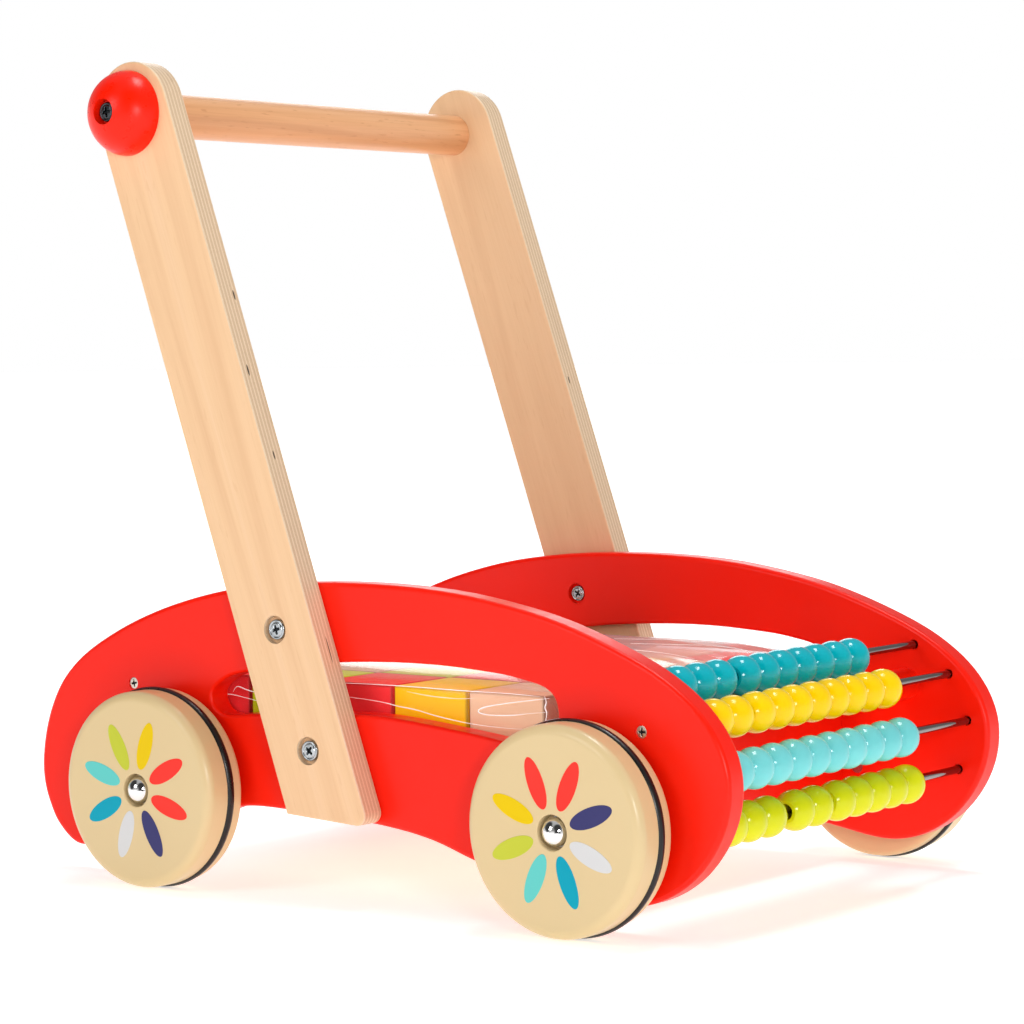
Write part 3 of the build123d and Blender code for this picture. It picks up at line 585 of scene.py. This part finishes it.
def film():
    lo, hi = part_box("film_wrap")
    tops = max(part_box(n)[1].z for n in nodes if n.startswith("blocks_"))
    bx0 = min(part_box(n)[0].x for n in nodes if n.startswith("blocks_"))
    bx1 = max(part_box(n)[1].x for n in nodes if n.startswith("blocks_"))
    z0, y1 = lo.z + 0.0001, hi.y - 0.0002
    zt = tops + 0.0006
    zc = (z0 + zt) / 2
    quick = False
    nx = 120 if quick else 190
    # the cross-section, from the bottom centre round by the right side
    ring = []
    ny, nz, nc = (60, 14, 5) if quick else (92, 22, 6)
    rc = 0.0022
    for i in range(ny):
        ring.append((y1 - rc) * (i / ny) * -1.0); ring[-1] = (ring[-1], z0, 0.0, -1.0)
    pts = [p for p in ring]
    for i in range(nc):
        a = math.pi / 2 * i / nc
        pts.append((-(y1 - rc) - rc * math.sin(a), z0 + rc - rc * math.cos(a), -math.sin(a), -math.cos(a)))
    for i in range(nz):
        pts.append((-y1, z0 + rc + (zt - z0 - 2 * rc) * i / nz, -1.0, 0.0))
    for i in range(nc):
        a = math.pi / 2 * i / nc
        pts.append((-(y1 - rc) - rc * math.cos(a), zt - rc + rc * math.sin(a), -math.cos(a), math.sin(a)))
    for i in range(2 * ny):
        pts.append((-(y1 - rc) + 2 * (y1 - rc) * i / (2 * ny), zt, 0.0, 1.0))
    for i in range(nc):
        a = math.pi / 2 * i / nc
        pts.append(((y1 - rc) + rc * math.sin(a), zt - rc + rc * math.cos(a), math.sin(a), math.cos(a)))
    for i in range(nz):
        pts.append((y1, zt - rc - (zt - z0 - 2 * rc) * i / nz, 1.0, 0.0))
    for i in range(nc):
        a = math.pi / 2 * i / nc
        pts.append(((y1 - rc) + rc * math.cos(a), z0 + rc - rc * math.sin(a), math.cos(a), -math.sin(a)))
    for i in range(ny):
        pts.append(((y1 - rc) * (1 - i / ny), z0, 0.0, -1.0))
    n = len(pts)
    xs = []
    x0, x1 = lo.x + 0.0015, hi.x - 0.0015
    for i in range(nx):
        t = i / (nx - 1)
        t = 0.5 - 0.5 * math.cos(math.pi * t) if False else t
        xs.append(x0 + (x1 - x0) * t)
    extra = [x0 + 0.0004 * k for k in range(1, 5)] + [x1 - 0.0004 * k for k in range(1, 5)]
    xs = sorted(xs + extra)
    limit = hi.z - 0.0004 - zt
    verts = []
    for x in xs:
        t0 = min(1.0, max(0.0, (x - x0) / (bx0 - 0.0006 - x0)))
        t1 = min(1.0, max(0.0, (x1 - x) / (x1 - bx1 - 0.0006)))
        s = min(math.sin(math.pi / 2 * t0) ** 0.8, math.sin(math.pi / 2 * t1) ** 0.8)
        s = max(s, 0.012)
        end = 1.0 - min(t0, t1)
        for (y, z, ny_, nz_) in pts:
            if nz_ > 0.3:
                h = film_top(x, y, x0, x1, y1, bx0, bx1) * (0.35 + 0.65 * s) * nz_
                z = z + min(limit, h)
            elif abs(ny_) > 0.5:
                y = y - math.copysign(0.00022 * (0.5 + 0.5 * ridged(Vector((x * 34, z * 60, ny_ * 5)))), y)
            zz = zc + (z - zc) * s
            if end > 0.02:
                gather = 0.0030 * end * noise.noise(Vector((x * 30, y * 95, nz_ * 3 + 1.0)))
                zz += gather * (0.25 + s)
                y = y * (1 - 0.035 * end ** 2)
            zz = min(hi.z - 0.0003, max(lo.z + 0.00005, zz))
            verts.append((x, y, zz))
    faces = []
    for i in range(len(xs) - 1):
        for j in range(n):
            a, b = i * n + j, i * n + (j + 1) % n
            faces.append((a, b, b + n, a + n))
    faces.append(tuple(range(n)))
    faces.append(tuple((len(xs) - 1) * n + j for j in reversed(range(n))))
    ob = new_piece("film_sleeve", verts, faces, "block_pack", [mats["clear_film"]])
    bm = bmesh.new(); bm.from_mesh(ob.data)
    bmesh.ops.recalc_face_normals(bm, faces=bm.faces)
    bm.to_mesh(ob.data); bm.free()
    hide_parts("film_wrap")

    # folds where the film lies double: thin flat strips on its skin, in a glowing film that paints highlight
    # streaks
    def smooth_path(pts, k):
        out = []
        for i in range(len(pts) - 1):
            p0, p1, p2, p3 = pts[max(0, i - 1)], pts[i], pts[i + 1], pts[min(len(pts) - 1, i + 2)]
            for j in range(k):
                t = j / k
                out.append(0.5 * ((2 * p1) + (p2 - p0) * t + (2 * p0 - 5 * p1 + 4 * p2 - p3) * t * t + (3 * p1 - p0 - 3 * p2 + p3) * t ** 3))
        out.append(pts[-1])
        return out

    fv, ff = [], []

    def strip(path, width, normal_of, thick=0.00005):
        n = len(path)
        base = len(fv)
        for i, c in enumerate(path):
            t = (path[min(n - 1, i + 1)] - path[max(0, i - 1)]).normalized()
            nn = normal_of(c)
            side = t.cross(nn).normalized()
            w = width * (0.25 + 0.75 * math.sin(math.pi * (i + 0.5) / n)) * (0.8 + 0.35 * noise.noise(Vector((i * 0.21, width * 900, n * 0.1))))
            for a, b in ((-1, -1), (0, 1.0), (1, -1), (0, -1.2)):
                fv.append(c + side * (w * a) + nn * (thick * b))
        for i in range(n - 1):
            for j in range(4):
                a, b = base + i * 4 + j, base + i * 4 + (j + 1) % 4
                ff.append((a, b, b + 4, a + 4))
        ff.append(tuple(base + j for j in (3, 2, 1, 0)))
        ff.append(tuple(base + (n - 1) * 4 + j for j in range(4)))

    SIDE = (((-0.0185, 0.111), (-0.0059, 0.1104), (0.0067, 0.1094), (0.0161, 0.108), (0.0284, 0.1068), (0.0438, 0.1041), (0.0665, 0.1015), (0.0889, 0.1007), (0.1065, 0.1009)),
            ((0.1176, 0.111), (0.1037, 0.1092), (0.0919, 0.1076), (0.0785, 0.1070), (0.0712, 0.1080), (0.0726, 0.1100), (0.0801, 0.1121), (0.0935, 0.1145), (0.1067, 0.1165), (0.1184, 0.1182)),
            ((-0.0248, 0.1185), (-0.0025, 0.1190), (0.0287, 0.1192), (0.0592, 0.1190), (0.0892, 0.1192), (0.112, 0.1188)),
            ((-0.1038, 0.1090), (-0.1004, 0.1123), (-0.0937, 0.1109), (-0.0870, 0.1098), (-0.078, 0.1092)),
            ((0.1150, 0.1189), (0.1160, 0.1161), (0.1152, 0.1131), (0.1162, 0.1100), (0.1150, 0.104)),
            ((0.0224, 0.1164), (0.0378, 0.1149), (0.0561, 0.1145), (0.0682, 0.1154)),
            ((-0.120, 0.104), (-0.108, 0.1075), (-0.094, 0.1062), (-0.080, 0.1040)),
            ((0.060, 0.0985), (0.078, 0.0962), (0.096, 0.0950), (0.110, 0.0965)))
    widths = (0.00030, 0.00042, 0.00028, 0.00030, 0.00045, 0.00020, 0.00022, 0.00024)
    for sg in (-1.0, 1.0):
        for path, wd in zip(SIDE, widths):
            pts3 = [Vector((px, sg * (hi.y - 0.00009), pz)) for px, pz in path]
            strip(smooth_path(pts3, 6), wd, lambda c, g=sg: Vector((0, g, 0)))

    def on_top(x, y):
        return Vector((x, y, min(hi.z - 0.0003, zt + film_top(x, y, x0, x1, y1, bx0, bx1) + 0.00006)))

    def top_normal(c):
        e = 0.002
        a = on_top(c.x + e, c.y) - on_top(c.x - e, c.y)
        b = on_top(c.x, c.y + e) - on_top(c.x, c.y - e)
        return a.cross(b).normalized()

    for k in range(9):
        ya = -0.104 + 0.026 * k
        bend = 0.020 * math.sin(k * 2.3)
        reach = 0.055 + 0.035 * (0.5 + 0.5 * math.sin(k * 1.7))
        start = bx1 - 0.004 if k % 3 else bx0 + 0.004
        way = -1.0 if k % 3 else 1.0
        path = []
        for j in range(15):
            t = j / 14
            path.append(on_top(start + way * reach * t, max(-0.115, min(0.115, ya * (1 - 0.25 * t) + bend * t * t + 0.002 * math.sin(5 * t + k)))))
        strip(path, 0.00016 + 0.00006 * (k % 3), top_normal)
    folds = new_piece("film_fold_highlights", fv, ff, "block_pack", [fold_highlight_film])
    bm = bmesh.new(); bm.from_mesh(folds.data)
    bmesh.ops.recalc_face_normals(bm, faces=bm.faces)
    bm.to_mesh(folds.data); bm.free()


film()

# ------------------------------------------------------------------ floor and light
me = bpy.data.meshes.new("studio_floor")
bm = bmesh.new()
bmesh.ops.create_circle(bm, cap_ends=True, segments=128, radius=30.0)
bm.to_mesh(me); bm.free()
floor = bpy.data.objects.new("studio_floor", me)
scene.collection.objects.link(floor)
floor.location = (0, 0, -0.0002)
fp = Mat("floor_white")
fp.set(Base_Color=(0.93, 0.93, 0.93, 1), Roughness=0.7, Specular_IOR_Level=0.2)
ln = fp.node("VectorMath", operation="LENGTH")
fp.put(ln, 0, fp.pos)
fp.b.inputs["Emission Color"].default_value = (1, 1, 1, 1)
fp.set(Emission_Strength=fp.rng(ln.outputs["Value"], 1.2, 3.2, 0.55, 0.80))
me.materials.append(fp.m)

world = bpy.data.worlds.new("studio")
scene.world = world
world.use_nodes = True
wt = world.node_tree
wt.nodes.clear()
wo = wt.nodes.new("ShaderNodeOutputWorld")
wtc = wt.nodes.new("ShaderNodeTexCoord")
wsep = wt.nodes.new("ShaderNodeSeparateXYZ")
wt.links.new(wtc.outputs["Generated"], wsep.inputs[0])
wr = wt.nodes.new("ShaderNodeValToRGB")
wt.links.new(wsep.outputs[2], wr.inputs[0])
els = wr.color_ramp.elements
els[0].position, els[0].color = 0.0, (0.95, 0.95, 0.95, 1)
els[1].position, els[1].color = 1.0, (0.55, 0.55, 0.55, 1)
for pos, val in ((0.10, 0.80), (0.24, 0.34), (0.60, 0.34)):
    e = els.new(pos)
    e.color = (val, val, val, 1)
dark = None
for direction, a0, a1 in (((0.59, -0.79, 0.16), 0.90, 0.965), ((0.48, -0.64, 0.60), 0.86, 0.94), ((-0.66, -0.53, 0.53), 0.84, 0.92)):
    dp = wt.nodes.new("ShaderNodeVectorMath")
    dp.operation = "DOT_PRODUCT"
    wt.links.new(wtc.outputs["Generated"], dp.inputs[0])
    dp.inputs[1].default_value = direction
    mr = wt.nodes.new("ShaderNodeMapRange")
    wt.links.new(dp.outputs["Value"], mr.inputs[0])
    for i, v in enumerate((a0, a1, 0.0, 1.0)):
        mr.inputs[i + 1].default_value = v
    if dark is None:
        dark = mr.outputs[0]
    else:
        mm = wt.nodes.new("ShaderNodeMath")
        mm.operation = "MAXIMUM"
        wt.links.new(dark, mm.inputs[0]); wt.links.new(mr.outputs[0], mm.inputs[1])
        dark = mm.outputs[0]
wm = wt.nodes.new("ShaderNodeMix")
wm.data_type = "RGBA"
wt.links.new(dark, wm.inputs[0])
wt.links.new(wr.outputs[0], wm.inputs[6])
wm.inputs[7].default_value = (0.05, 0.05, 0.05, 1)
bg = wt.nodes.new("ShaderNodeBackground")
wt.links.new(wm.outputs[2], bg.inputs[0])
bg.inputs[1].default_value = 1.0
bg2 = wt.nodes.new("ShaderNodeBackground")
bg2.inputs[0].default_value = (1, 1, 1, 1)
bg2.inputs[1].default_value = 1.0
lp = wt.nodes.new("ShaderNodeLightPath")
mxs = wt.nodes.new("ShaderNodeMixShader")
wt.links.new(lp.outputs["Is Camera Ray"], mxs.inputs[0])
wt.links.new(bg.outputs[0], mxs.inputs[1])
wt.links.new(bg2.outputs[0], mxs.inputs[2])
wt.links.new(mxs.outputs[0], wo.inputs[0])


def area(name, loc, target, size, power, colour=(1, 1, 1), sy=None):
    d = bpy.data.lights.new(name, "AREA")
    d.shape = "RECTANGLE"
    d.size, d.size_y = size, sy or size
    d.energy = power
    d.color = colour
    o = bpy.data.objects.new(name, d)
    scene.collection.objects.link(o)
    o.location = loc
    o.rotation_mode = "QUATERNION"
    o.rotation_quaternion = (Vector(target) - Vector(loc)).to_track_quat("-Z", "Y")
    return o


area("front", (1.75, -1.55, 0.62), (0, 0, 0.12), 0.42, 16)
area("front_left", (-0.7, -2.3, 1.2), (0, 0, 0.15), 0.9, 13)
area("overhead", (0.2, 0.2, 2.6), (0, 0, 0.1), 0.9, 24, sy=0.5)
area("back_left", (-1.6, 2.2, 1.4), (0, 0, 0.2), 1.2, 14)

bpy.context.view_layer.update()
